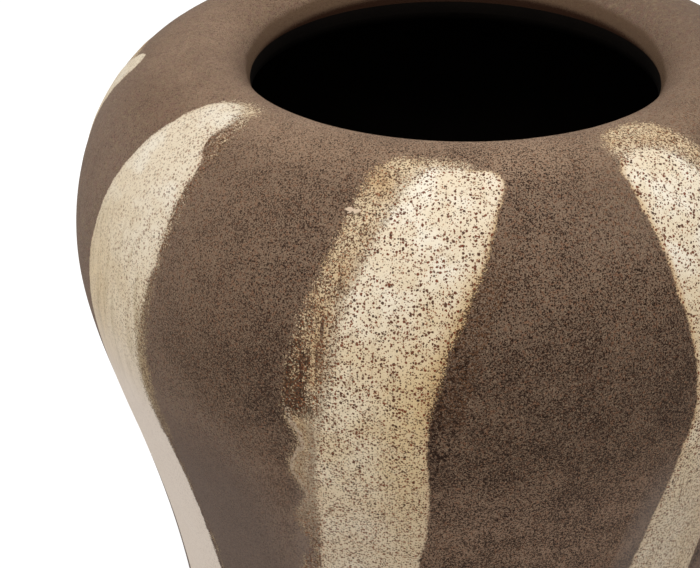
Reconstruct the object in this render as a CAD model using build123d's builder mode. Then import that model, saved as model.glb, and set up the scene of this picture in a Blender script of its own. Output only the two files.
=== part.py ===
"""A round-shouldered stoneware jar with a rolled-in rim, built up from thrown sections.

The sections are luted together with slip, lined and coated with glaze, and brushed with eight upright
stripes of cream slip. Each stripe is laid down in a thin first pass and a thick second one.
The origin is the middle of the standing face under the foot ring, with +Z up and the front towards -Y.
"""

import os
from dataclasses import dataclass
from math import asin, cos, degrees, pi, radians, sin

from build123d import *

# Outline of the glazed jar, in mm
jar_height = 350.0  # standing face to the top of the rim
belly_radius = 150.0  # widest ring
belly_height = 275.0  # height of the widest ring
mouth_radius = 79.0  # narrowest ring of the mouth
rim_roll_radius = 17.8  # round of the rolled-in rim
foot_radius = 104.3
belly_fullness = 50.4  # how far below the widest ring the wall keeps its girth
foot_sweep = 158.9  # how far above the floor the wall already leans towards upright

# Clay sections
wall = 8.0
floor_thickness = 10.0
floor_corner_radius = 18.0  # round between floor and wall, inside
foot_height = 9.0
foot_width = 14.0
foot_edge_radius = 2.5
rim_joint_angle = 78.0  # degrees up round the shoulder from the belly, where the rim is joined on

# Luted joints
slip = 1.0  # thickness of the slip in each joint
groove_depth = 3.0  # depth of the V that each section's edge is cut to

# Coats
glaze = 0.6
bare_foot = 5.0  # height of the band wiped clean of glaze
glaze_seam_angle = 75.0  # degrees in from the crest round the rim, where the outer glaze meets the liner
coat_clearance = 0.1  # hair of air under the brushed slip, which keeps its curved faces clear of the glaze
first_pass = 0.2
second_pass = 0.45

# Brushed stripes
stripe_end_round = 9.0  # round of the corners at each end of a pass
press_run = 75.0  # distance from its top over which the brush spreads to its full width
lean_run = 120.0  # distance below the crest at which a stripe has come round to its upright run
aim_angle = 22.0  # degrees above level from which the stripes' outlines are laid on the jar


@dataclass
class Stripe:
    """Sizes of one stripe in mm along the skin, measured down from the crest and across to the right."""

    azimuth: float  # degrees round the jar from the front, to the right
    top_width: float  # width where the brush lands
    width: float  # width of each pass once the brush is pressed down
    start: float  # top of the second pass
    stop: float  # lower end of the second pass
    lean: float  # how far the second pass stands right of its upright run at its top, or left if negative
    first_start: float  # top of the first pass
    first_stop: float  # lower end of the first pass
    first_lean: float  # how far the first pass stands to the right of its own run at its top
    first_shift: float  # how far the first pass runs to the right of the second, or to the left if negative


stripes = [
    Stripe(-10.1, 32.5, 41.0, 14.0, 318.0, 24.0, 10.5, 300.0, 23.0, -11.5),
    Stripe(44.4, 22.0, 44.0, 14.5, 309.0, -20.0, 0.5, 316.0, -16.0, 3.0),
    Stripe(89.0, 30.0, 39.0, 9.0, 324.0, 15.0, 16.0, 305.0, 10.0, -8.0),
    Stripe(131.5, 26.0, 43.0, 17.0, 312.0, 12.0, 8.0, 296.0, 18.0, 6.0),
    Stripe(175.5, 33.0, 40.0, 11.0, 320.0, 18.0, 6.0, 304.0, 13.0, -7.0),
    Stripe(219.0, 24.0, 44.0, 15.0, 306.0, 9.0, 8.0, 317.0, 7.0, -5.0),
    Stripe(260.5, 32.0, 39.0, 26.0, 316.0, 14.0, 33.0, 298.0, 8.0, -6.0),
    Stripe(303.3, 12.0, 45.0, 4.0, 322.0, 12.5, 1.0, 303.0, 13.5, 2.5),
]

# Sizes that follow from the ones above
crest_radius = mouth_radius + rim_roll_radius
roll_height = jar_height - rim_roll_radius  # middle of the rim's round
shoulder_reach = belly_radius - crest_radius
shoulder_rise = jar_height - belly_height
floor_underside = foot_height + slip
floor_top = floor_underside + floor_thickness
clay_inside = glaze + wall  # depth of the clay's inner face under the outer glazed face
lip_radius = wall / 2
lip_middle = mouth_radius + glaze + lip_radius


def on_shoulder(depth, angle):
    """Point of the shoulder, depth mm under the glazed face, angle degrees up from the belly."""
    across = (shoulder_reach - depth) * cos(radians(angle))
    up = (shoulder_rise - depth) * sin(radians(angle))
    return Vector(crest_radius + across, belly_height + up)


def shoulder_heading(depth, angle):
    """Change of on_shoulder for each degree, towards the crest."""
    across = -(shoulder_reach - depth) * sin(radians(angle))
    up = (shoulder_rise - depth) * cos(radians(angle))
    return Vector(across, up) * (pi / 180)


def shoulder_arc(depth, start, end):
    """Stretch of the elliptic shoulder between two angles."""
    EllipticalCenterArc(
        (crest_radius, belly_height),
        shoulder_reach - depth,
        shoulder_rise - depth,
        start,
        arc_size=end - start,
    )


def lower_side(depth, low):
    """Curve of the wall from the belly down to the height low, upright at both ends."""
    Bezier(
        (belly_radius - depth, belly_height),
        (belly_radius - depth, belly_height - belly_fullness),
        (foot_radius - depth, floor_underside + foot_sweep),
        (foot_radius - depth, low),
    )


def on_roll(depth, angle):
    """Point of the rim's round, depth mm under the glazed face, angle degrees in from the crest."""
    reach = rim_roll_radius - depth
    return crest_radius - reach * sin(radians(angle)), roll_height + reach * cos(radians(angle))


def rim_roll(depth, start=0, end=90):
    """Round of the rim between two angles in from the crest, where 90 degrees is the throat."""
    CenterArc((crest_radius, roll_height), rim_roll_radius - depth, 90 + start, arc_size=end - start)


def glaze_seam():
    """Line through the glaze on the rim, where the outer glaze meets the liner."""
    Line(on_roll(0, glaze_seam_angle), on_roll(glaze, glaze_seam_angle))


def lip_round(cover):
    """Half round under the lip, with a cover of glaze over the clay."""
    CenterArc((lip_middle, roll_height), lip_radius + cover, 180, arc_size=180)


def inner_side(depth):
    """Inside of the jar below the belly: wall, round corner and floor."""
    lift = depth - clay_inside
    corner = floor_corner_radius - lift
    corner_height = floor_top + lift + corner
    corner_middle = foot_radius - depth - corner
    lower_side(depth, corner_height)
    CenterArc((corner_middle, corner_height), corner, 270, arc_size=90)
    Line((corner_middle, floor_top + lift), (0, floor_top + lift))


def belly_groove(lift):
    """V across the wall at the belly, from the outer face to the inner one."""
    middle = (belly_radius - glaze - wall / 2, belly_height - groove_depth + lift)
    outer = on_shoulder(glaze, belly_seat(glaze, lift))
    inner = on_shoulder(clay_inside, belly_seat(clay_inside, lift))
    Polyline((outer.X, outer.Y), middle, (inner.X, inner.Y))


def belly_seat(depth, lift):
    """Angle round the shoulder at which its face stands lift mm above the belly ring."""
    return degrees(asin(lift / (shoulder_rise - depth)))


def rim_seat(depth, lift):
    """Angle round the shoulder at which its face lies lift mm past the rim's joint, towards the crest."""
    return rim_joint_angle + lift / shoulder_heading(depth, rim_joint_angle).length


def rim_groove(lift):
    """V across the wall at the rim's joint, from the outer face to the inner one."""
    half_way = glaze + wall / 2
    outer = on_shoulder(glaze, rim_seat(glaze, lift))
    inner = on_shoulder(clay_inside, rim_seat(clay_inside, lift))
    heading = shoulder_heading(half_way, rim_joint_angle).normalized()
    middle = on_shoulder(half_way, rim_joint_angle) + heading * (lift - groove_depth)
    Polyline((outer.X, outer.Y), (middle.X, middle.Y), (inner.X, inner.Y))


def save(builder, name):
    """Labels a finished piece and writes it."""
    builder.part.label = name
    export_step(builder.part, f"parts/{name}.step")


os.makedirs("parts", exist_ok=True)

# Foot ring, with its standing edges rounded
with BuildPart() as foot_ring:
    with BuildSketch(Plane.XZ):
        with Locations((foot_radius - glaze, 0)):
            Rectangle(foot_width, foot_height, align=(Align.MAX, Align.MIN))
    revolve(axis=Axis.Z)
    standing_edges = foot_ring.faces().sort_by(Axis.Z)[0].edges()
    fillet(standing_edges, radius=foot_edge_radius)
save(foot_ring, "foot_ring")

# Slip between foot ring and floor
with BuildPart() as foot_slip:
    with BuildSketch(Plane.XZ):
        with Locations((foot_radius - glaze, foot_height)):
            Rectangle(foot_width, slip, align=(Align.MAX, Align.MIN))
    revolve(axis=Axis.Z)
save(foot_slip, "foot_slip")

# Lower body, thrown as a deep bowl with its floor
with BuildPart() as lower_body:
    with BuildSketch(Plane.XZ):
        with BuildLine():
            lower_side(glaze, floor_underside)
            belly_groove(0)
            inner_side(clay_inside)
            Polyline((0, floor_top), (0, floor_underside), (foot_radius - glaze, floor_underside))
        make_face()
    revolve(axis=Axis.Z)
save(lower_body, "lower_body")

# Slip between lower body and shoulder
with BuildPart() as belly_slip:
    with BuildSketch(Plane.XZ):
        with BuildLine():
            belly_groove(0)
            belly_groove(slip)
            shoulder_arc(glaze, 0, belly_seat(glaze, slip))
            shoulder_arc(clay_inside, 0, belly_seat(clay_inside, slip))
        make_face()
    revolve(axis=Axis.Z)
save(belly_slip, "belly_slip")

# Shoulder, thrown as a ring and turned over onto the lower body
with BuildPart() as shoulder:
    with BuildSketch(Plane.XZ):
        with BuildLine():
            belly_groove(slip)
            shoulder_arc(glaze, belly_seat(glaze, slip), rim_seat(glaze, 0))
            rim_groove(0)
            shoulder_arc(clay_inside, belly_seat(clay_inside, slip), rim_seat(clay_inside, 0))
        make_face()
    revolve(axis=Axis.Z)
save(shoulder, "shoulder")

# Slip between shoulder and rim
with BuildPart() as rim_slip:
    with BuildSketch(Plane.XZ):
        with BuildLine():
            rim_groove(0)
            rim_groove(slip)
            shoulder_arc(glaze, rim_seat(glaze, 0), rim_seat(glaze, slip))
            shoulder_arc(clay_inside, rim_seat(clay_inside, 0), rim_seat(clay_inside, slip))
        make_face()
    revolve(axis=Axis.Z)
save(rim_slip, "rim_slip")

# Rim, a coil thrown on and rolled inwards to a round lip
with BuildPart() as rim:
    with BuildSketch(Plane.XZ):
        with BuildLine():
            rim_groove(slip)
            shoulder_arc(glaze, rim_seat(glaze, slip), 90)
            rim_roll(glaze)
            lip_round(0)
            rim_roll(clay_inside)
            shoulder_arc(clay_inside, rim_seat(clay_inside, slip), 90)
        make_face()
    revolve(axis=Axis.Z)
save(rim, "rim")

# Glaze outside, from the wiped foot up over the crest and into the mouth
with BuildPart() as outside_glaze:
    with BuildSketch(Plane.XZ):
        with BuildLine():
            for depth in (0, glaze):
                Line((foot_radius - depth, bare_foot), (foot_radius - depth, floor_underside))
                lower_side(depth, floor_underside)
                shoulder_arc(depth, 0, 90)
                rim_roll(depth, end=glaze_seam_angle)
            Line((foot_radius, bare_foot), (foot_radius - glaze, bare_foot))
            glaze_seam()
        make_face()
    revolve(axis=Axis.Z)
save(outside_glaze, "outside_glaze")

# Liner glaze, from the mouth round the lip and down to the floor inside
with BuildPart() as inside_glaze:
    with BuildSketch(Plane.XZ):
        with BuildLine():
            for cover in (0, glaze):
                rim_roll(glaze - cover, start=glaze_seam_angle)
                lip_round(cover)
                rim_roll(clay_inside + cover)
                shoulder_arc(clay_inside + cover, 0, 90)
                inner_side(clay_inside + cover)
            glaze_seam()
            Line((0, floor_top), (0, floor_top + glaze))
        make_face()
    revolve(axis=Axis.Z)
save(inside_glaze, "inside_glaze")

# Skin of the jar from the floor up to the crest, along which the stripes are measured
with BuildLine(Plane.XZ) as skin:
    lower_side(0, floor_underside)
    shoulder_arc(0, 0, 90)
skin_wire = skin.wires()[0]
crest_first = (skin_wire @ 0).Z > (skin_wire @ 1).Z


def skin_point(distance):
    """Radius and height of the glazed face, distance mm below the crest along it."""
    along = distance if crest_first else skin_wire.length - distance
    point = skin_wire.position_at(along, position_mode=PositionMode.LENGTH)
    return point.X, point.Z


def stripe_plane(stripe):
    """Plane through the jar's axis at the belly that looks out and a little up along the stripe."""
    turn = radians(stripe.azimuth)
    outwards = Vector(sin(turn), -cos(turn), 0) * cos(radians(aim_angle))
    upwards = Vector(0, 0, sin(radians(aim_angle)))
    return Plane((0, 0, belly_height), x_dir=(cos(turn), sin(turn), 0), z_dir=outwards + upwards)


def laid_on(distance, across):
    """Place on a stripe's plane of a point of the skin, across mm to the right of the stripe's middle."""
    radius, height = skin_point(distance)
    turn = across / radius
    drop = radius * cos(turn) * sin(radians(aim_angle))
    return radius * sin(turn), (height - belly_height) * cos(radians(aim_angle)) - drop


def lean_at(lean, distance):
    """How far right of its upright run the middle of a pass lies, at a distance below the crest."""
    return lean * (1 + cos(pi * min(distance / lean_run, 1))) / 2


def width_at(stripe, distance_run):
    """Width of a pass, at a distance below its own top."""
    pressed = sin(pi / 2 * min(distance_run / press_run, 1))
    return stripe.top_width + (stripe.width - stripe.top_width) * pressed


def draw_pass(stripe, start, stop, lean, shift):
    """Outline of one brush pass: two flowing edges and two blunt ends with rounded corners."""

    def edge(distance, side, inset=0.0):
        """Point inset mm in from the left (-1) or right (+1) edge of the pass."""
        half = width_at(stripe, distance - start) / 2
        return laid_on(distance, lean_at(lean, distance) + shift + side * (half - inset))

    top_round = min(stripe_end_round, 0.4 * stripe.top_width)
    low_round = min(stripe_end_round, 0.4 * stripe.width)
    top = start + top_round
    foot = stop - low_round
    bend = [top + (lean_run - top) * step / 4 for step in range(5)]
    for side in (-1, 1):
        Spline(*(edge(distance, side) for distance in (*bend, (lean_run + foot) / 2, foot)))

    for tip, corner, inwards in ((start, top_round, 1), (stop, low_round, -1)):
        cut = corner * (1 - cos(radians(45)))
        for side in (-1, 1):
            ThreePointArc(
                edge(tip + inwards * corner, side),
                edge(tip + inwards * cut, side, cut),
                edge(tip, side, corner),
            )
        Spline(edge(tip, -1, corner), laid_on(tip, lean_at(lean, tip) + shift), edge(tip, 1, corner))


def draw_first_pass(stripe):
    """Outline of a stripe's thin first pass."""
    draw_pass(stripe, stripe.first_start, stripe.first_stop, stripe.first_lean, stripe.first_shift)


def draw_second_pass(stripe):
    """Outline of a stripe's thick second pass."""
    draw_pass(stripe, stripe.start, stripe.stop, stripe.lean, 0)


def raised_skin(thickness):
    """Outline of a coat of slip of one thickness over the whole skin."""
    under = coat_clearance
    over = coat_clearance + thickness
    for height in (under, over):
        lower_side(-height, floor_underside)
        shoulder_arc(-height, 0, 90)
    Line((crest_radius, jar_height + under), (crest_radius, jar_height + over))
    Line((foot_radius + under, floor_underside), (foot_radius + over, floor_underside))


# Whole coats that the passes are cut from
with BuildPart() as first_coat:
    with BuildSketch(Plane.XZ):
        with BuildLine():
            raised_skin(first_pass)
        make_face()
    revolve(axis=Axis.Z)

with BuildPart() as second_coat:
    with BuildSketch(Plane.XZ):
        with BuildLine():
            raised_skin(second_pass)
        make_face()
    revolve(axis=Axis.Z)

# Stripes: the thick second pass, and the part of the thin first pass that it leaves showing
for number, stripe in enumerate(stripes, 1):
    with BuildPart() as second:
        with BuildSketch(stripe_plane(stripe)):
            with BuildLine():
                draw_second_pass(stripe)
            make_face()
        extrude(amount=jar_height)
        add(second_coat.part, mode=Mode.INTERSECT)
    save(second, f"stripe_{number}_second_pass")

    with BuildPart() as first:
        with BuildSketch(stripe_plane(stripe)):
            with BuildLine():
                draw_first_pass(stripe)
            make_face()
            with BuildLine():
                draw_second_pass(stripe)
            make_face(mode=Mode.SUBTRACT)
        extrude(amount=jar_height)
        add(first_coat.part, mode=Mode.INTERSECT)
    save(first, f"stripe_{number}_first_pass")
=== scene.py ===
"""Dresses the stoneware jar: speckled brown glaze, brushed cream stripes, dark inside, studio and camera."""

import math
from dataclasses import dataclass

import bpy
import numpy as np
from mathutils import Matrix, Vector


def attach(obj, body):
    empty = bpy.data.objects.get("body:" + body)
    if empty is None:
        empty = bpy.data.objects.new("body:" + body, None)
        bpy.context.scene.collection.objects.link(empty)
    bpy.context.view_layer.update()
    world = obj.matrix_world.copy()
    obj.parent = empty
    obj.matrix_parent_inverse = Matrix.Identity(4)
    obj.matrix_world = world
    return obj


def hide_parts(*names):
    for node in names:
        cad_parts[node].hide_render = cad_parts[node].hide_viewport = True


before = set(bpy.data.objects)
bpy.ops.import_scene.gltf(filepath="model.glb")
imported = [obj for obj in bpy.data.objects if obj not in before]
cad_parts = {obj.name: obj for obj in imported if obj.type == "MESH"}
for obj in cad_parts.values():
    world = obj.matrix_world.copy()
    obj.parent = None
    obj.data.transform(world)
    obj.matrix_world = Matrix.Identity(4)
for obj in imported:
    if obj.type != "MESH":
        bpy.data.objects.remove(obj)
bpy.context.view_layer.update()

MM = 0.001
LEFT, RIGHT = -1, 1

# The jar's driving sizes in mm, the same as those of the CAD model
jar_height = 350
belly_radius = 150
belly_height = 275
mouth_radius = 79
rim_roll_radius = 17.8
foot_radius = 104.3
belly_fullness = 50.4
foot_sweep = 158.9
floor_underside = 10
bare_foot = 5
glaze_seam_angle = 75

crest_radius = mouth_radius + rim_roll_radius
roll_height = jar_height - rim_roll_radius

# The coats in mm: the glaze skin ends just short of the clay, and the stripes lie on the glaze
glaze_skin = 0.45
first_pass = 0.2
second_pass = 0.45
stripe_lift = 0.06
stripe_sunk = 0.3
stripe_margin = 14.0
stripe_end_round = 9.0
press_run = 75.0
lean_run = 120.0

# The brush in mm: reach of its first touch and of a dry spot, waves low down, and the lanes that part the stripes
landing_run = 12.0
dry_run = 30.0
wave_length, first_wave, wave_step = 29, 121, 11
lane_step = 100

# Fineness of the meshes: points on each run of the profile, columns of the pieces, and mm between a patch's rows
side_points, shoulder_points, roll_points = 62, 42, 13
gore_columns = 34
patch_columns = 38
patch_row = 2.0
patch_profile_fineness = 8


@dataclass
class Stripe:
    """One brushed stripe, a thin first pass of slip and a thick second one: azimuth in degrees, the rest in mm"""

    azimuth: float
    top_width: float
    width: float
    start: float
    stop: float
    lean: float
    first_start: float
    first_stop: float
    first_lean: float
    first_shift: float

    # Where the brush was fullest, how far that lasted and where it ran dry
    wet_at: float
    wet_run: float
    dry_at: float

    # The hand's moves of the second pass's edges: side, place, half length and distance outwards
    wavers: tuple = ()

    # Size of the waves low down in the first pass's outer edge
    ripple: float = 0.8

    def width_at(self, run):
        """Width of a pass, which spreads over its run as the brush is pressed down"""
        pressed = np.clip(run / press_run, 0, 1)
        return self.top_width + (self.width - self.top_width) * np.sin(np.pi / 2 * pressed)

    def middle_at(self, along):
        """Sideways place of the second pass's middle"""
        return lean_at(self.lean, along)

    def first_middle_at(self, along):
        """Sideways place of the first pass's middle"""
        return lean_at(self.first_lean, along) + self.first_shift

    def waver_at(self, along, side):
        """How far the hand moved the second pass's edge outwards on one side"""
        moves = (out * np.exp(-(((along - at) / run) ** 2)) for edge, at, run, out in self.wavers if edge == side)
        return sum(moves, 0 * along)


def lean_at(lean, along):
    """Sideways drift of a stroke that starts beside its line and swings into it"""
    swing = np.clip(along / lean_run, 0, 1)
    return lean * (1 + np.cos(np.pi * swing)) / 2


stripes = [
    Stripe(
        azimuth=-10.1, top_width=32.5, width=41.0, start=14.0, stop=318.0, lean=24.0,
        first_start=10.5, first_stop=300.0, first_lean=23.0, first_shift=-11.5,
        wet_at=10.0, wet_run=110.0, dry_at=100.0,
        wavers=((RIGHT, 54, 14, 1.9), (LEFT, 98, 24, -4.5), (RIGHT, 205, 38, -7.5), (LEFT, 205, 38, 2.5)),
        ripple=2.5,
    ),
    Stripe(
        azimuth=44.4, top_width=22.0, width=44.0, start=14.5, stop=309.0, lean=-20.0,
        first_start=0.5, first_stop=316.0, first_lean=-16.0, first_shift=3.0,
        wet_at=0.0, wet_run=90.0, dry_at=210.0,
    ),
    Stripe(
        azimuth=89.0, top_width=30.0, width=39.0, start=9.0, stop=324.0, lean=15.0,
        first_start=16.0, first_stop=305.0, first_lean=10.0, first_shift=-8.0,
        wet_at=40.0, wet_run=90.0, dry_at=150.0,
    ),
    Stripe(
        azimuth=131.5, top_width=26.0, width=43.0, start=17.0, stop=312.0, lean=12.0,
        first_start=8.0, first_stop=296.0, first_lean=18.0, first_shift=6.0,
        wet_at=10.0, wet_run=90.0, dry_at=90.0,
    ),
    Stripe(
        azimuth=175.5, top_width=33.0, width=40.0, start=11.0, stop=320.0, lean=18.0,
        first_start=6.0, first_stop=304.0, first_lean=13.0, first_shift=-7.0,
        wet_at=60.0, wet_run=90.0, dry_at=180.0,
    ),
    Stripe(
        azimuth=219.0, top_width=24.0, width=44.0, start=15.0, stop=306.0, lean=9.0,
        first_start=8.0, first_stop=317.0, first_lean=7.0, first_shift=-5.0,
        wet_at=20.0, wet_run=90.0, dry_at=120.0,
    ),
    Stripe(
        azimuth=260.5, top_width=32.0, width=39.0, start=26.0, stop=316.0, lean=14.0,
        first_start=33.0, first_stop=298.0, first_lean=8.0, first_shift=-6.0,
        wet_at=80.0, wet_run=60.0, dry_at=160.0,
        wavers=((LEFT, 26, 30, -18.0),),
    ),
    Stripe(
        azimuth=303.3, top_width=12.0, width=45.0, start=4.0, stop=322.0, lean=12.5,
        first_start=1.0, first_stop=303.0, first_lean=13.5, first_shift=2.5,
        wet_at=112.0, wet_run=28.0, dry_at=110.0,
        wavers=(
            (RIGHT, 23, 5, -3.5),
            (RIGHT, 36, 6, 1.5),
            (RIGHT, 74, 16, 2.0),
            (RIGHT, 122, 28, -3.2),
            (RIGHT, 140, 16, -1.6),
            (LEFT, 200, 45, -4.0),
        ),
    ),
]


def arc(centre, reach, rise, start, stop, count):
    """Points on an elliptical arc, angles in degrees from the outward direction"""
    angle = np.radians(np.linspace(start, stop, count))
    return np.column_stack((centre[0] + reach * np.cos(angle), centre[1] + rise * np.sin(angle)))


def skin_profile(fine):
    """Radius and height of the glazed outside, from the bare foot over the crest to the seam in the mouth"""
    t = np.linspace(0, 1, side_points * fine)[:, None]
    low = np.array((foot_radius, floor_underside))
    high = np.array((belly_radius, belly_height))
    side = (
        (1 - t) ** 3 * low
        + 3 * (1 - t) ** 2 * t * (low + (0, foot_sweep))
        + 3 * (1 - t) * t**2 * (high - (0, belly_fullness))
        + t**3 * high
    )
    shoulder_reach, shoulder_rise = belly_radius - crest_radius, jar_height - belly_height
    shoulder = arc((crest_radius, belly_height), shoulder_reach, shoulder_rise, 0, 90, shoulder_points * fine)
    seam = 90 + glaze_seam_angle
    roll = arc((crest_radius, roll_height), rim_roll_radius, rim_roll_radius, 90, seam, roll_points * fine)
    foot = np.array(((foot_radius, bare_foot),))
    return np.vstack((foot, side, shoulder[1:], roll[1:]))


def outward(profile):
    """Unit normals of the profile, pointing away from the clay"""
    run = np.gradient(profile, axis=0)

    # The skin is upright where it leaves the foot
    run[0] = run[1] = (0, 1)
    normal = np.column_stack((run[:, 1], -run[:, 0]))
    return normal / np.linalg.norm(normal, axis=1)[:, None]


def skin_lengths(profile):
    """Length along the skin from the crest at each point of the profile, growing downwards"""
    steps = np.linalg.norm(np.diff(profile, axis=0), axis=1)
    climbed = np.concatenate(((0,), np.cumsum(steps)))
    return climbed[np.argmax(profile[:, 1])] - climbed


def around(radius, height, azimuth):
    """Points of the jar's frame at azimuths in radians, 0 at the front and growing to the right"""
    return np.stack((radius * np.sin(azimuth), -radius * np.cos(azimuth), height + 0 * azimuth), axis=-1)


def shell_faces(rows, columns):
    """Faces of the top, the bottom and the wall round a grid whose bottom points follow its top points"""
    index = np.arange(rows * columns).reshape(rows, columns)
    under = index + rows * columns
    top = np.stack((index[:-1, :-1], index[:-1, 1:], index[1:, 1:], index[1:, :-1]), axis=-1)
    bottom = np.stack((under[:-1, :-1], under[1:, :-1], under[1:, 1:], under[:-1, 1:]), axis=-1)
    edge = np.concatenate((index[0, :-1], index[:-1, -1], index[-1, :0:-1], index[:0:-1, 0]))
    after = np.roll(edge, -1)
    wall = np.column_stack((after, edge, edge + rows * columns, after + rows * columns))
    return top.reshape(-1, 4), bottom.reshape(-1, 4), wall


def bake_corners(rows, columns, faces, wall_count):
    """Places of the faces' corners on the bake map: the top nearly fills it, bottom and wall are strips beside it"""
    across, along = np.meshgrid(np.linspace(0, 1, columns), np.linspace(0, 1, rows))
    shown = np.column_stack((0.01 + 0.93 * across.ravel(), along.ravel()))
    hidden = np.column_stack((0.955 + 0.015 * across.ravel(), along.ravel()))
    corners = np.vstack((shown, hidden))[faces]
    turn = np.linspace(0, 1, wall_count)[:, None]
    onward = turn + 0.5 / wall_count
    corners[-wall_count:, :, 0] = (0.98, 0.98, 0.995, 0.995)
    corners[-wall_count:, :, 1] = np.hstack((turn, onward, onward, turn))
    return corners


def shell(name, top, bottom, normals, attributes=None):
    """A closed thin shell between two grids of points in mm, with smooth normals and its own bake map"""
    rows, columns = top.shape[:2]
    parts = shell_faces(rows, columns)
    faces = np.vstack(parts)

    mesh = bpy.data.meshes.new(name)
    points = np.vstack((top.reshape(-1, 3), bottom.reshape(-1, 3))) * MM
    mesh.from_pydata(points.tolist(), [], faces.tolist())
    for key, values in (attributes or {}).items():
        layer = mesh.attributes.new(key, "FLOAT", "POINT")
        layer.data.foreach_set("value", np.tile(values.ravel(), 2).astype(np.float32))

    corners = bake_corners(rows, columns, faces, len(parts[-1]))
    uv = mesh.uv_layers.new(name="OFBake")
    uv.data.foreach_set("uv", corners.reshape(-1).astype(np.float32))

    mesh.shade_smooth()
    both = np.vstack((normals.reshape(-1, 3), -normals.reshape(-1, 3)))
    mesh.normals_split_custom_set_from_vertices(both.tolist())
    piece = bpy.data.objects.new(name, mesh)
    bpy.context.collection.objects.link(piece)
    return piece


def glaze_gore(number, left, right):
    """One gore of the brown glaze from the middle of one stripe to the middle of the next, azimuths in degrees"""
    profile = skin_profile(1)
    normal = outward(profile)
    azimuth = np.radians(np.linspace(left, right, gore_columns))[None, :]
    inner = profile - glaze_skin * normal
    top = around(profile[:, :1], profile[:, 1:], azimuth)
    bottom = around(inner[:, :1], inner[:, 1:], azimuth)
    normals = around(normal[:, :1], normal[:, 1:], azimuth)
    return shell(f"outside_glaze_{number}", top, bottom, normals)


def soft_step(value, low, high):
    """0 below low, 1 above high and a smooth rise between"""
    t = np.clip((value - low) / (high - low), 0, 1)
    return t * t * (3 - 2 * t)


def inside_stroke(along, across, start, stop, half_width):
    """Distance in mm inside the edge of a stroke with rounded ends, negative outside it"""
    side = half_width - np.abs(across)
    end = np.minimum(along - start, stop - along)
    corner = np.minimum(half_width, stripe_end_round)
    rounded = corner - np.hypot(np.maximum(corner - side, 0), np.maximum(corner - end, 0))
    return np.where((side < corner) & (end < corner), rounded, np.minimum(side, end))


def stripe_patch(number, stripe):
    """The skin under and around one stripe, raised where the slip lies, with the brush's measures for its material"""
    profile = skin_profile(patch_profile_fineness)
    normal = outward(profile)
    lengths = skin_lengths(profile)
    top_end = min(stripe.start, stripe.first_start) - stripe_margin
    low_end = max(stripe.stop, stripe.first_stop) + stripe_margin
    along = np.arange(low_end, top_end, -patch_row)[:, None]

    def at_rows(values):
        """The profile's values at each row of the patch"""
        return np.interp(-along[:, 0], -lengths, values)[:, None]

    radius, height = at_rows(profile[:, 0]), at_rows(profile[:, 1])
    tilt = np.hstack((at_rows(normal[:, 0]), at_rows(normal[:, 1])))
    tilt = tilt / np.linalg.norm(tilt, axis=1)[:, None]

    half = stripe.width_at(along - stripe.start) / 2
    first_half = stripe.width_at(along - stripe.first_start) / 2
    middle, first_middle = stripe.middle_at(along), stripe.first_middle_at(along)
    left_edge = np.minimum(middle - half, first_middle - first_half) - stripe_margin
    right_edge = np.maximum(middle + half, first_middle + first_half) + stripe_margin
    across = left_edge + (right_edge - left_edge) * np.linspace(0, 1, patch_columns)[None, :]
    azimuth = math.radians(stripe.azimuth) + across / radius

    # Distances inside the two passes, and the height of the skin that follows from them
    left_out, right_out = stripe.waver_at(along, LEFT), stripe.waver_at(along, RIGHT)
    from_middle = across - middle - (right_out - left_out) / 2
    thick = inside_stroke(along, from_middle, stripe.start, stripe.stop, half + (left_out + right_out) / 2)
    thin = inside_stroke(along, across - first_middle, stripe.first_start, stripe.first_stop, first_half)
    coat = np.maximum(first_pass * soft_step(thin, -0.5, 2.5), second_pass * soft_step(thick, -0.5, 3.0))
    side_border = np.minimum(across - left_edge, right_edge - across)
    border = np.minimum(side_border, np.minimum(along - top_end, low_end - along))
    rise = stripe_lift * (3 * soft_step(border, 0, 4) - 2) + coat
    top = around(radius + rise * tilt[:, :1], height + rise * tilt[:, 1:], azimuth)
    bottom = around(radius - stripe_sunk * tilt[:, :1], height - stripe_sunk * tilt[:, 1:], azimuth)
    normals = around(tilt[:, :1], tilt[:, 1:], azimuth)

    # Waves in the first pass's edge low down, a new place for them on each stripe, and the slip on the brush
    wave_place = first_wave - wave_step * (number - 1)
    wave = 1.6 + np.cos(2 * np.pi * (along - wave_place) / wave_length)
    wet = np.exp(-np.abs(along - stripe.wet_at) / stripe.wet_run)
    landing = 0.75 * np.exp(-np.maximum(along - stripe.first_start, 0) / landing_run)
    measures = {
        "thick": thick,
        "thin": thin - stripe.ripple * wave * soft_step(along, 95, 115),
        "along": along + 0 * across,
        "across": across - middle,
        "lane": across + lane_step * number,
        "load": np.maximum(wet, landing) + 0 * across,
        "dry": np.exp(-(((along - stripe.dry_at) / dry_run) ** 2)) + 0 * across,
    }
    return shell(f"stripe_{number}", top, bottom, normals, measures)


def paint(red, green, blue):
    """A colour written in the usual 0 to 255 steps, as the shader's linear values"""
    steps = (value / 255 for value in (red, green, blue))
    return (*(s / 12.92 if s <= 0.04045 else ((s + 0.055) / 1.055) ** 2.4 for s in steps), 1)


# Browns of the glaze, among them a painted sheen, painted shades and a painted grey reflection
glaze_waist = paint(108, 87, 72)
glaze_top = paint(129, 106, 88)
glaze_below = paint(144, 117, 98)
glaze_crest_and_sheen = paint(170, 142, 118)
glaze_cloud = paint(114, 90, 72)
glaze_worn = paint(116, 95, 79)
glaze_back_right_shade = paint(100, 82, 70)
glaze_quiet = paint(142, 123, 109)
glaze_blush = paint(122, 92, 82)
glaze_moss = paint(142, 124, 96)
glaze_calm = paint(96, 80, 71)
glaze_grit = paint(158, 138, 113)
glaze_rust = paint(124, 82, 57)
painted_glaze_reflection = paint(120, 108, 101)
dark_grain = paint(48, 31, 22)
coarse_grain = paint(38, 23, 15)
pit = paint(38, 24, 16)
lip_lap_and_shade = paint(86, 65, 47)
throat_liner_and_shade = paint(36, 16, 4)
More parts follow.
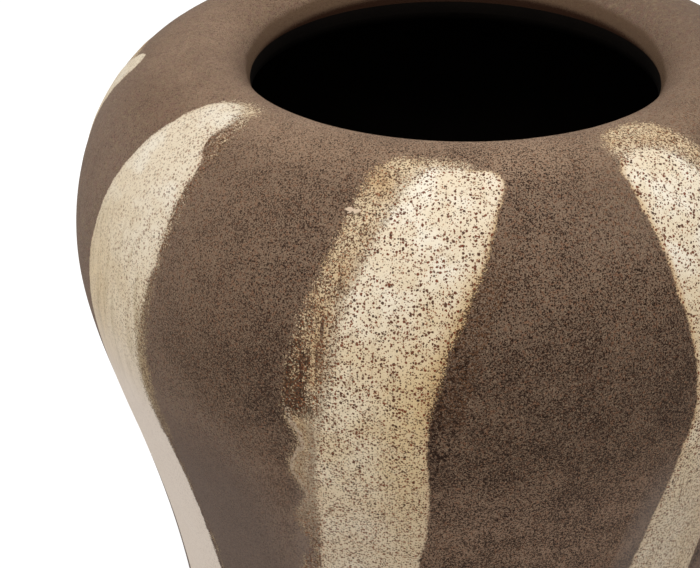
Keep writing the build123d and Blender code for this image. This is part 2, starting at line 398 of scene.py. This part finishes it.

# The ground beside a stripe with its painted grey reflection, and the thin wash
halo_iron = paint(38, 22, 13)
grey_reflection = paint(132, 120, 112)
wash_tan, wash_pale = paint(204, 174, 133), paint(226, 204, 168)
wash_veil = paint(224, 208, 182)
wash_low = paint(166, 147, 122)
wash_shaded = paint(158, 138, 106)
wash_pool = paint(194, 174, 150)
scorched = paint(46, 28, 18)

# The thick cream, and its painted sheen low at the left front
cream_fair, cream_white = paint(236, 220, 192), paint(247, 238, 219)
cream_tan, cream_warm = paint(219, 193, 148), paint(227, 203, 161)
cream_patch = paint(220, 200, 168)
cream_edge = paint(212, 182, 142)
cream_thin = paint(204, 178, 144)
cream_dirt = paint(176, 152, 122)
cream_low = paint(204, 191, 173)
cream_seared = paint(204, 172, 122)
cream_shaded = paint(210, 197, 177)
cream_smear = paint(184, 166, 134)
cream_left_sheen = paint(230, 217, 206)

# The iron specks, each kind from one tone to another, and the chip with its painted shadow
fine_specks = paint(102, 70, 46), paint(52, 34, 24)
dust_specks = paint(108, 82, 58), paint(68, 49, 35)
small_specks = paint(154, 92, 56), paint(83, 52, 34)
large_specks = paint(122, 59, 33), paint(60, 35, 22)
chip_shade, chip_clay = paint(58, 40, 30), paint(218, 194, 168)

# The clay, the joining slip and the liner inside, near black as painted shade too
clay_tones = paint(168, 128, 98), paint(188, 150, 118)
clay_grog, clay_speck = paint(206, 176, 146), paint(74, 50, 38)
slip_tones = paint(186, 152, 122), paint(206, 178, 150)
slip_grog = paint(150, 116, 90)
liner_and_shade_tones = paint(10, 7, 5), paint(14, 10, 7)
liner_grit = paint(22, 15, 10)


class Nodes:
    """A material's nodes as plain calls, where an argument is a number, a colour or another call's result"""

    def __init__(self, name):
        self.material = bpy.data.materials.new(name)
        self.material.use_nodes = True
        self.tree = self.material.node_tree
        self.tree.nodes.clear()

    def add(self, kind, inputs, output=0, **settings):
        """Adds a node, fills its inputs and gives one of its outputs"""
        node = self.tree.nodes.new(kind)
        for key, value in settings.items():
            setattr(node, key, value)
        for key, value in inputs.items():
            if isinstance(value, bpy.types.NodeSocket):
                self.tree.links.new(value, node.inputs[key])
            else:
                node.inputs[key].default_value = value
        return node.outputs[output]

    def place(self):
        """Place in the object in mm"""
        metres = self.add("ShaderNodeTexCoord", {}, "Object")
        return self.add("ShaderNodeVectorMath", {0: metres, "Scale": 1 / MM}, operation="SCALE")

    def facing(self, place, x, y):
        """How far a place lies towards a level direction, in mm"""
        return self.add("ShaderNodeVectorMath", {0: place, 1: (x, y, 0)}, "Value", operation="DOT_PRODUCT")

    def measure(self, name):
        """A number stored on the mesh"""
        return self.add("ShaderNodeAttribute", {}, "Fac", attribute_name=name)

    def math(self, operation, first, second=0.0, third=0.0):
        """One sum on numbers"""
        return self.add("ShaderNodeMath", {0: first, 1: second, 2: third}, operation=operation)

    def plus(self, value, *terms):
        """The value with each term added, an amount and its weight"""
        for amount, weight in terms:
            value = self.math("MULTIPLY_ADD", amount, weight, value)
        return value

    def times(self, first, *others):
        """Product of numbers"""
        for other in others:
            first = self.math("MULTIPLY", first, other)
        return first

    def inverse(self, value):
        """What is left of 1"""
        return self.math("SUBTRACT", 1.0, value)

    def larger(self, first, second):
        """The larger of two numbers"""
        return self.math("MAXIMUM", first, second)

    def rise(self, value, low, high, least=0.0, most=1.0):
        """A smooth step from least at low to most at high"""
        inputs = {"Value": value, "From Min": low, "From Max": high, "To Min": least, "To Max": most}
        return self.add("ShaderNodeMapRange", inputs, interpolation_type="SMOOTHSTEP")

    def band(self, value, low, full, fading, gone, most=1.0):
        """A smooth step up from low to full, and down again from fading to gone"""
        return self.times(self.rise(value, low, full), self.rise(value, gone, fading, 0.0, most))

    def noise(self, place, size, detail=2.0, roughness=0.5):
        """Soft clouds about size mm across, around 0.5"""
        inputs = {"Vector": place, "Scale": 1 / size, "Detail": detail, "Roughness": roughness}
        return self.add("ShaderNodeTexNoise", inputs)

    def centred(self, value):
        """Clouds moved to lie around 0"""
        return self.math("SUBTRACT", value, 0.5)

    def grains(self, place, size, share, largest, least=0.0):
        """Grains and random numbers for them, in a share of cells of size mm, up to largest mm in radius"""
        inputs = {"Vector": place, "Scale": 1 / size}
        cells = self.add("ShaderNodeTexVoronoi", inputs, "Distance").node
        draw = self.add("ShaderNodeSeparateColor", {0: cells.outputs["Color"]}, 0).node
        filled = self.inverse(self.math("DIVIDE", draw.outputs[0], share))
        grown = self.times(self.rise(filled, 0.0, 0.02), self.plus(least, (filled, 1 - least)))
        radius = self.larger(self.times(grown, self.math("DIVIDE", largest, size)), 0.001)
        near = self.math("DIVIDE", cells.outputs["Distance"], radius)
        return self.rise(near, 0.8, 1.1, 1.0, 0.0), draw.outputs[1]

    def shaken(self, place, size, reach):
        """The place moved about by up to reach mm, so that round grains come out uneven"""
        inputs = {"Vector": place, "Scale": 1 / size, "Detail": 1.0}
        shake = self.add("ShaderNodeTexNoise", inputs, "Color")
        centred = self.add("ShaderNodeVectorMath", {0: shake, 1: (0.5, 0.5, 0.5)}, operation="SUBTRACT")
        return self.add("ShaderNodeVectorMath", {0: centred, 1: (reach,) * 3, 2: place}, operation="MULTIPLY_ADD")

    def mix(self, amount, first, second):
        """Blend from the first colour to the second"""
        inputs = {0: amount, 6: first, 7: second}
        return self.add("ShaderNodeMix", inputs, 2, data_type="RGBA")

    def finish(self, colour, height, relief, roughness, shine=0.08):
        """Ends in a shader with that colour, relief in mm, roughness and shine"""
        normal = self.add("ShaderNodeBump", {"Height": height, "Strength": 1.0, "Distance": relief * MM})
        inputs = {"Base Color": colour, "Roughness": roughness, "Normal": normal, "Specular IOR Level": shine}
        surface = self.add("ShaderNodeBsdfPrincipled", inputs)
        self.add_output(surface)
        return self.material

    def add_output(self, surface):
        """Joins a shader to the material's output"""
        output = self.tree.nodes.new("ShaderNodeOutputMaterial")
        self.tree.links.new(surface, output.inputs["Surface"])


def brown_glaze(nodes, place):
    """Colour and relief of the matt iron glaze, by height and by the side that faced the flame, front right, with
    painted sheen on the crest, painted shade at the far right rim and in the mouth, and a painted grey reflection low
    at the left
    """
    cloud, patch = nodes.noise(place, 60, 2), nodes.noise(place, 12, 3)
    clump, grit = nodes.noise(place, 0.5, 1, 0.6), nodes.noise(place, 0.42, 1)
    blush, moss = nodes.noise(place, 2.4, 2), nodes.noise(place, 2.1, 2)
    height = nodes.add("ShaderNodeSeparateXYZ", {0: place}, 2)

    # Where the iron broke out in grains: most towards the flame, least low at the left and on the upper right
    heat = nodes.rise(nodes.facing(place, 0.47, -0.88), -10, 120, 0.42, 1.0)
    calm = nodes.times(nodes.rise(height, 275, 218), nodes.rise(heat, 1.0, 0.75))
    flame = nodes.times(heat, nodes.plus(1.0, (calm, -0.6)))
    worn = nodes.times(nodes.rise(height, 312, 342), nodes.rise(nodes.facing(place, 1, 0), 25, 70, 0.0, 0.6))
    quiet = nodes.larger(nodes.rise(flame, 0.45, 0.8, 1.0, 0.0), worn)
    grainy = nodes.times(flame, nodes.plus(1.0, (worn, -0.75)))

    # Body: slow changes of colour with height and side, then soft clouds
    body = nodes.mix(nodes.rise(height, 272, 348), glaze_waist, glaze_top)
    body = nodes.mix(nodes.rise(height, 270, 218), body, glaze_below)
    # A paler crest, partly the glaze breaking thin over it and partly a painted sheen, stronger towards the front
    crest = nodes.times(nodes.rise(height, 341, 350), nodes.rise(flame, 0.5, 0.85, 0.55, 1.0))
    body = nodes.mix(crest, body, glaze_crest_and_sheen)
    body = nodes.mix(nodes.rise(cloud, 0.35, 0.7, 0.0, 0.5), body, glaze_cloud)
    body = nodes.mix(nodes.times(worn, 0.9), body, glaze_worn)
    # Painted shade: the upper rim darker towards the back right
    back_right_shade = nodes.times(nodes.rise(height, 328, 342), nodes.rise(nodes.facing(place, 0.7, 0.7), 50, 90, 0.0, 0.6))
    body = nodes.mix(back_right_shade, body, glaze_back_right_shade)
    body = nodes.mix(nodes.times(quiet, nodes.rise(height, 345, 325, 0.0, 0.42)), body, glaze_quiet)
    body = nodes.mix(nodes.times(quiet, nodes.rise(blush, 0.48, 0.68, 0.0, 0.5)), body, glaze_blush)
    body = nodes.mix(nodes.times(quiet, nodes.rise(moss, 0.5, 0.7, 0.0, 0.45)), body, glaze_moss)
    body = nodes.mix(nodes.times(calm, 0.85), body, glaze_calm)

    # Grain: pale grit, rust, fine and coarse dark grains and pits
    body = nodes.mix(nodes.times(flame, nodes.rise(grit, 0.45, 0.7, 0.0, 0.6)), body, glaze_grit)
    rust = nodes.rise(nodes.noise(place, 1.1, 2), 0.5, 0.68, 0.0, 0.55)
    body = nodes.mix(nodes.times(flame, rust), body, glaze_rust)
    # A painted grey reflection low down on the calm side
    body = nodes.mix(nodes.times(nodes.rise(height, 250, 190), calm, 0.25), body, painted_glaze_reflection)
    dark = nodes.rise(nodes.plus(clump, (patch, 0.22)), 0.58, 0.72)
    colour = nodes.mix(nodes.times(grainy, nodes.times(dark, 0.95)), body, dark_grain)
    coarse = nodes.rise(nodes.plus(nodes.noise(place, 0.8, 1, 0.6), (patch, 0.18)), 0.62, 0.68)
    strewn = nodes.times(nodes.rise(height, 330, 265, 0.0, 0.66), nodes.rise(flame, 0.6, 1.0))
    colour = nodes.mix(nodes.times(coarse, strewn), colour, coarse_grain)
    pits, _ = nodes.grains(nodes.shaken(place, 0.5, 0.4), 0.8, 0.6, 0.42)
    colour = nodes.mix(nodes.times(grainy, nodes.times(pits, 0.95)), colour, pit)

    # Mouth: a brown band inside the roll and then the dark throat, both deeper at the front than at the back; partly
    # the liner lapping over the roll and partly painted shade inside the mouth, which reaches higher at the back
    flat = nodes.add("ShaderNodeVectorMath", {0: place, 1: (1, 1, 0)}, operation="MULTIPLY")
    radius = nodes.add("ShaderNodeVectorMath", {0: flat}, "Value", operation="LENGTH")
    within = nodes.rise(radius, 94, 96.5, 1.0, 0.0)
    depth = nodes.math("SUBTRACT", height, nodes.facing(place, 0, 0.05))
    lip = nodes.rise(nodes.plus(depth, (patch, 3.0)), 343.7, 341.4, 0.0, 0.78)
    colour = nodes.mix(nodes.times(lip, within), colour, lip_lap_and_shade)
    throat = nodes.rise(nodes.plus(depth, (clump, 2.0)), 338.4, 335.9, 0.0, 0.97)
    colour = nodes.mix(nodes.times(throat, within), colour, throat_liner_and_shade)
    return colour, nodes.plus(grit, (clump, 0.8), (pits, -0.6))


def glaze_material():
    """The brown glaze of the gores"""
    nodes = Nodes("speckled_brown_glaze")
    colour, level = brown_glaze(nodes, nodes.place())
    return nodes.finish(colour, level, 0.10, 0.6)


class BrushedSlip(Nodes):
    """The stripes' material: brown glaze, a thin wash and a thick cream of slip brushed over it, and iron specks"""

    def __init__(self):
        super().__init__("brushed_cream_slip")
        self.point = self.place()
        self.brown, self.level = brown_glaze(self, self.point)

        # The brush's measures, in mm except for the last two
        self.thick, self.thin = self.measure("thick"), self.measure("thin")
        self.along, self.across, self.lane = self.measure("along"), self.measure("across"), self.measure("lane")
        self.load, self.dry = self.measure("load"), self.measure("dry")

        # Clouds, from broad to fine, and bristle marks
        self.cloud, self.patch = self.noise(self.point, 15, 3), self.noise(self.point, 5, 3)
        self.wander = self.centred(self.noise(self.point, 13, 1))
        self.ragged = self.centred(self.noise(self.point, 4.0, 3))
        self.clot = self.noise(self.point, 1.0, 2, 0.6)
        self.mottle = self.noise(self.point, 0.55, 2, 0.6)
        self.crumbs = self.centred(self.noise(self.point, 0.6, 1))
        self.bristle = self.brushed(0.8, 0.03)
        self.streak = self.centred(self.bristle)

        # Sides of the jar: specks and scorching on the lit front right, duller slip elsewhere
        right_front = self.facing(self.point, 0.7, -0.7)
        self.spotted = self.rise(right_front, -50, 40, 0.3, 1.0)
        self.shaded = self.rise(right_front, 60, 10)
        self.lit = self.inverse(self.shaded)
        # Painted sheen low on the left front stripes, seen at a grazing angle
        self.left_front_sheen = self.rise(self.facing(self.point, -0.906, -0.423), 100, 118)
        self.right_side = self.rise(self.across, 2.0, 10.0)
        seared = self.times(self.rise(self.shaded, 0, 1, 1.0, 0.12), self.right_side)
        self.seared = self.times(seared, self.band(self.along, 25, 65, 98, 115))

        # Edges: crumbly where the cream ends on the wash or on the scorched side, clean elsewhere
        self.on_wash = self.times(self.rise(self.thin, -1.0, 3.0), self.rise(self.load, 0.12, 0.4))
        crumbling = self.plus(2.0, (self.on_wash, 7.0), (self.seared, 5.0))
        softness = self.plus(0.45, (self.on_wash, 0.7), (self.seared, 0.3))
        edge = self.plus(self.thick, (self.wander, 2.6), (self.ragged, 2.2), (self.crumbs, crumbling))
        self.cream_cover = self.rise(self.math("DIVIDE", edge, softness), -1.0, 1.0)
        self.wash_line = self.plus(self.thin, (self.ragged, 5.0))
        self.wash_cover = self.rise(self.plus(self.wash_line, (self.crumbs, 13.0)), -1.6, 0.6)
        self.bare_wash = self.times(self.wash_cover, self.inverse(self.cream_cover))

        # A closed film on the lower wash of the lit stripes
        self.film = self.times(self.lit, self.band(self.along, 104, 114, 150, 190, 0.65))

    def brushed(self, over, down):
        """Clouds drawn out along the stripe, with their scales across and along it"""
        lanes = {0: self.times(self.lane, over), 1: self.times(self.along, down)}
        return self.noise(self.add("ShaderNodeCombineXYZ", lanes), 1.0, 3, 0.6)

    def ground(self):
        """The brown glaze, with iron drawn out beside the cream and a painted grey reflection low at its left"""
        halo = self.times(self.rise(self.thick, -14.0, -0.3), self.times(self.dry, self.lit, self.right_side))
        spots = self.rise(self.plus(self.noise(self.point, 1.2, 2, 0.6), (halo, 0.12)), 0.6, 0.65)
        halo = self.times(spots, self.rise(halo, 0.05, 0.4))
        colour = self.mix(self.times(halo, 0.95), self.brown, halo_iron)
        # Painted grey reflection on the brown low down at the stripe's left
        low_left = self.times(self.rise(self.along, 125, 170), self.rise(self.across, 2, -8))
        grey_reflection_mask = self.times(self.rise(self.thick, -16.0, -2.0), low_left)
        return self.mix(self.times(grey_reflection_mask, 0.4), colour, grey_reflection)

    def with_wash(self, ground):
        """The thin wash over a ground: open at its outer edge, close under the cream, scorched where it ran dry"""
        along, thin = self.along, self.thin
        loaded = self.plus(0.26, (self.load, 0.3))
        streaked = self.rise(along, 50, 90, 0.5, 1.1)
        grain = self.plus(self.mottle, (loaded, 1.0), (self.streak, streaked), (self.centred(self.patch), 0.6))
        veil = self.rise(self.plus(self.thick, (self.ragged, 5.0), (self.crumbs, 6.0)), -7.0, 1.0)
        closed = self.times(veil, 0.9, self.rise(self.load, 0.15, 0.5))
        closed = self.larger(closed, self.times(self.shaded, self.rise(self.load, 0.15, 0.6, 0.0, 0.6)))
        closed = self.larger(closed, self.film)
        amount = self.times(self.wash_cover, self.larger(self.rise(grain, 0.8, 0.97, 0.03, 0.94), closed))

        wash = self.mix(self.rise(self.cloud, 0.35, 0.65), wash_tan, wash_pale)
        wash = self.mix(self.times(veil, 0.7), wash, wash_veil)
        wash = self.mix(self.rise(along, 105, 160, 0.0, 0.75), wash, wash_low)
        wash = self.mix(self.times(self.shaded, 0.75, self.rise(along, 40, 80)), wash, wash_shaded)
        colour = self.mix(amount, ground, wash)

        pooled = self.times(self.band(self.wash_line, -0.4, 0.5, 1.2, 2.4), self.lit)
        pooled = self.times(pooled, self.band(along, 98, 108, 140, 175))
        colour = self.mix(self.times(pooled, self.load, 2.0), colour, wash_pool)

        outline = self.times(self.band(thin, -2.0, -0.2, 1.0, 3.5), self.dry)
        driest = self.times(self.dry, self.dry, self.dry)
        scorch = self.larger(self.times(self.band(thin, -1.5, 0.5, 5.5, 9.5), driest), outline)
        scorch = self.times(scorch, self.rise(along, 118, 104))
        clots = self.rise(self.plus(self.clot, (scorch, 0.2)), 0.58, 0.66)
        scorch = self.times(clots, self.rise(scorch, 0.1, 0.5))
        return self.mix(self.times(scorch, self.times(self.rise(self.across, -8, -14), 0.9)), colour, scorched)

    def with_cream(self, ground):
        """The thick cream over a ground: whiter where the brush landed, warmer below, dull on the shaded side, and
        paler with painted sheen low on the left front
        """
        along, across, lit, shaded = self.along, self.across, self.lit, self.shaded
        fair = self.mix(self.rise(self.cloud, 0.4, 0.66), cream_fair, cream_white)
        warm = self.mix(self.rise(self.cloud, 0.4, 0.66), cream_tan, cream_warm)
        tan_right = self.times(lit, self.rise(across, -6, 12, 0.55, 1.0))
        tan_left = self.times(shaded, self.rise(across, 4, -12, 0.55, 1.0))
        cream = self.mix(self.times(self.rise(along, 35, 95), self.math("ADD", tan_right, tan_left)), fair, warm)
        cream = self.mix(self.rise(self.patch, 0.5, 0.72, 0.0, 0.5), cream, cream_patch)
        body = self.larger(self.on_wash, self.rise(self.plus(self.thick, (self.streak, 4.0)), -0.4, 2.6))
        cream = self.mix(self.times(self.inverse(body), self.rise(shaded, 0, 1, 1.0, 0.4)), cream, cream_edge)
        thin_spots = self.rise(self.plus(self.mottle, (self.bristle, 0.6)), 0.7, 0.52, 0.0, 0.5)
        cream = self.mix(thin_spots, cream, cream_thin)
        dirt = self.times(self.dry, self.rise(self.plus(self.bristle, (self.patch, 0.5)), 0.8, 0.98, 0.0, 0.6))
        cream = self.mix(self.times(dirt, self.plus(lit, (tan_left, 0.8))), cream, cream_dirt)
        cream = self.mix(self.times(self.rise(along, 100, 190, 0.0, 0.5), lit), cream, cream_low)
        near_edge = self.rise(self.plus(self.thick, (self.ragged, 3.0)), 7.5, 0.5, 0.0, 0.65)
        cream = self.mix(self.times(self.seared, near_edge), cream, cream_seared)
        cream = self.mix(self.times(shaded, 0.4), cream, cream_shaded)
        smear = self.rise(self.brushed(0.22, 0.035), 0.46, 0.66, 0.0, 0.6)
        cream = self.mix(self.times(smear, shaded, self.band(along, 45, 80, 130, 165)), cream, cream_smear)
        # Painted sheen: the cream paler low on the left front stripes
        cream = self.mix(self.times(self.left_front_sheen, self.rise(along, 95, 150, 0.0, 0.85)), cream, cream_left_sheen)
        return self.mix(self.cream_cover, ground, cream)

    def with_specks(self, ground):
        """Iron specks over a ground: large and small ones on the slip, dust low down, fine grain on the bare wash,
        and fewer under the painted sheen low on the left front
        """
        along = self.along
        slip = self.times(self.spotted, self.larger(self.cream_cover, self.wash_cover))
        # Fewer specks under the painted sheen low on the left front
        slip = self.times(slip, self.inverse(self.times(self.left_front_sheen, self.rise(along, 95, 130, 0.0, 0.8))))
        gritty = self.times(self.bare_wash, self.inverse(self.times(self.film, 0.9)))
        gritty = self.larger(gritty, self.times(self.seared, self.rise(self.thick, 4.0, 0.3)))
        share = self.rise(self.patch, 0.3, 0.7, 0.5, 0.9)
        share = self.plus(share, (self.rise(self.thick, 6.0, 0.5), 0.25), (self.seared, 0.2))

        uneven = self.shaken(self.point, 0.7, 0.55)
        aside = self.add("ShaderNodeVectorMath", {0: uneven, 1: (7, 71, 29)})
        beyond = self.add("ShaderNodeVectorMath", {0: uneven, 1: (53, 13, 91)})
        fine, fine_draw = self.grains(beyond, 0.62, 1.0, 0.46)
        dust, dust_draw = self.grains(beyond, 0.85, self.rise(along, 55, 125, 0.12, 0.8), 0.4, 0.5)
        small, small_draw = self.grains(aside, 0.64, 0.8, 0.37)
        large, large_draw = self.grains(uneven, 1.05, share, self.rise(along, 90, 190, 0.62, 0.56))
        large = self.times(large, self.rise(along, 110, 230, 0.95, 0.85))
        large = self.times(large, self.rise(self.bare_wash, 0.0, 1.0, 1.0, 0.35))

        colour = self.mix(self.times(gritty, self.times(fine, 0.95)), ground, self.mix(fine_draw, *fine_specks))
        colour = self.mix(self.times(slip, self.times(dust, 0.85)), colour, self.mix(dust_draw, *dust_specks))
        colour = self.mix(self.times(slip, self.times(small, 0.9)), colour, self.mix(small_draw, *small_specks))
        return self.mix(self.times(slip, large), colour, self.mix(large_draw, *large_specks))

    def with_chip(self, ground):
        """A small chip in the wash of the front stripe, with a painted shadow below it, over a ground"""
        chip_lane, chip_along, half_width, half_height = lane_step - 10.8, 33.3, 3.0, 0.8
        torn = self.centred(self.noise(self.point, 1.7, 2))
        wide = self.times(self.math("SUBTRACT", self.lane, chip_lane), 1 / half_width)
        wide = self.plus(self.times(wide, wide), (torn, 2.0))
        tall = self.times(self.plus(self.math("SUBTRACT", self.along, chip_along), (torn, 3.0)), 1 / half_height)
        below = self.math("SUBTRACT", tall, 1.1)
        # A painted shadow just below the chip
        shade = self.rise(self.plus(wide, (below, below)), 1.4, 0.7)
        chip = self.rise(self.plus(wide, (tall, tall)), 1.2, 0.8)
        colour = self.mix(self.times(shade, 0.6), ground, chip_shade)
        return self.mix(self.times(chip, 0.9), colour, chip_clay)

    def brush(self):
        """Brushes all layers on and gives the material"""
        colour = self.with_cream(self.with_wash(self.ground()))
        colour = self.with_chip(self.with_specks(colour))
        ridges = self.times(self.wash_cover, self.bristle)
        relief = self.plus(self.times(self.level, 0.6), (self.cream_cover, 1.2), (ridges, 0.6))
        roughness = self.rise(self.cream_cover, 0.0, 1.0, 0.6, 0.55)
        return self.finish(colour, relief, 0.14, roughness)


def clay_material():
    """Bare fired clay of the foot and the sections under the glaze"""
    nodes = Nodes("bare_stoneware")
    place = nodes.place()
    cloud, grog = nodes.noise(place, 14, 3), nodes.noise(place, 0.9, 2)
    specks, _ = nodes.grains(place, 2.2, 0.6, 0.6)
    colour = nodes.mix(nodes.rise(cloud, 0.3, 0.7), *clay_tones)
    colour = nodes.mix(nodes.rise(grog, 0.5, 0.75, 0.0, 0.5), colour, clay_grog)
    colour = nodes.mix(nodes.times(specks, 0.8), colour, clay_speck)
    return nodes.finish(colour, grog, 0.15, 0.85)


def slip_material():
    """Pale joining slip between the sections"""
    nodes = Nodes("joining_slip")
    place = nodes.place()
    cloud, grog = nodes.noise(place, 6, 3), nodes.noise(place, 0.6, 2)
    colour = nodes.mix(nodes.rise(cloud, 0.3, 0.7), *slip_tones)
    colour = nodes.mix(nodes.rise(grog, 0.55, 0.8, 0.0, 0.4), colour, slip_grog)
    return nodes.finish(colour, grog, 0.08, 0.8)


def liner_and_shade_material():
    """Dark liner glaze inside the jar, made near black so that it also stands as painted shade inside"""
    nodes = Nodes("dark_liner_and_shade_glaze")
    place = nodes.place()
    cloud, grit = nodes.noise(place, 20, 3), nodes.noise(place, 0.8, 2)
    colour = nodes.mix(nodes.rise(cloud, 0.3, 0.7), *liner_and_shade_tones)
    colour = nodes.mix(nodes.rise(grit, 0.55, 0.8, 0.0, 0.5), colour, liner_grit)
    return nodes.finish(colour, grit, 0.06, 0.7, shine=0.05)


def dress(piece, slot, material, *replaced):
    """Gives a piece its material, its body and the CAD nodes it stands for; slot is not used"""
    piece.data.materials.append(material)
    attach(piece, "root")
    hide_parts(*replaced)


brown = glaze_material()
cream = BrushedSlip().brush()
for number, stripe in enumerate(stripes, start=1):
    following = stripes[number % len(stripes)].azimuth + (360 if number == len(stripes) else 0)
    dress(glaze_gore(number, stripe.azimuth, following), "brown_glaze", brown, "outside_glaze")
    passes = (f"stripe_{number}_first_pass", f"stripe_{number}_second_pass")
    dress(stripe_patch(number, stripe), "cream_slip", cream, *passes)

# The other CAD nodes keep their meshes
clay, slip, liner_and_shade = clay_material(), slip_material(), liner_and_shade_material()
finishes = {
    "foot_ring": clay,
    "lower_body": clay,
    "shoulder": clay,
    "rim": clay,
    "foot_slip": slip,
    "belly_slip": slip,
    "rim_slip": slip,
    "inside_glaze": liner_and_shade,
}
for name, material in finishes.items():
    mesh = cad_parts[name].data
    mesh.materials.clear()
    mesh.materials.append(material)


def floor_material():
    """White to the camera with a faint shadow, and a dim grey to the light that the floor sends back"""
    nodes = Nodes("pale_floor")
    path = nodes.tree.nodes.new("ShaderNodeLightPath")
    seen = nodes.add("ShaderNodeBsdfDiffuse", {"Color": (0.45, 0.45, 0.45, 1)})
    glow = nodes.add("ShaderNodeEmission", {"Color": (1, 1, 1, 1), "Strength": 0.72})
    shown = nodes.add("ShaderNodeAddShader", {0: seen, 1: glow})
    dim = nodes.add("ShaderNodeBsdfDiffuse", {"Color": (0.68, 0.67, 0.66, 1)})
    nodes.add_output(nodes.add("ShaderNodeMixShader", {0: path.outputs["Is Camera Ray"], 1: dim, 2: shown}))
    return nodes.material


def area_light(name, place, target, size, power):
    """A square soft box at place that faces target"""
    lamp = bpy.data.lights.new(name, "AREA")
    lamp.size = size
    lamp.energy = power
    lamp.color = (1.0, 0.98, 0.95)
    box = bpy.data.objects.new(name, lamp)
    box.location = place
    box.rotation_euler = (Vector(target) - Vector(place)).to_track_quat("-Z", "Y").to_euler()
    bpy.context.collection.objects.link(box)


# Studio: a pale floor, an even pale room, a soft box overhead in front and a weaker one low at the left
bpy.ops.mesh.primitive_plane_add(size=12, location=(0, 0, 0))
floor = bpy.context.object
floor.name = "floor"
floor.data.materials.append(floor_material())

area_light("top_softbox", (0.02, -0.5, 1.75), (0, 0, 0.3), 1.4, 13.5)
area_light("left_softbox", (-1.6, -0.35, 0.2), (0, 0, 0.15), 0.9, 4.6)

world = bpy.data.worlds.new("pale_room")
world.use_nodes = True
room = world.node_tree.nodes["Background"]
room.inputs["Color"].default_value = (1, 1, 1, 1)
room.inputs["Strength"].default_value = 0.65
bpy.context.scene.world = world
bpy.context.scene.view_settings.view_transform = "Standard"

# Camera at the photograph's viewing angle, with width and focal length in its pixels and angles in radians
picture_width, focal_length = 700, 2000
yaw, pitch = -0.0563, 0.49715
eye = Vector((0, -723.9, 635.9)) * MM
ahead = Vector((math.sin(yaw) * math.cos(pitch), math.cos(yaw) * math.cos(pitch), -math.sin(pitch)))
right = Vector((math.cos(yaw), -math.sin(yaw), 0))
up = right.cross(ahead)
camera_data = bpy.data.cameras.new("camera")
camera_data.sensor_width = 36
camera_data.lens = camera_data.sensor_width * focal_length / picture_width
camera = bpy.data.objects.new("camera", camera_data)
camera.matrix_world = Matrix.Translation(eye) @ Matrix((right, up, -ahead)).transposed().to_4x4()
bpy.context.collection.objects.link(camera)
bpy.context.scene.camera = camera
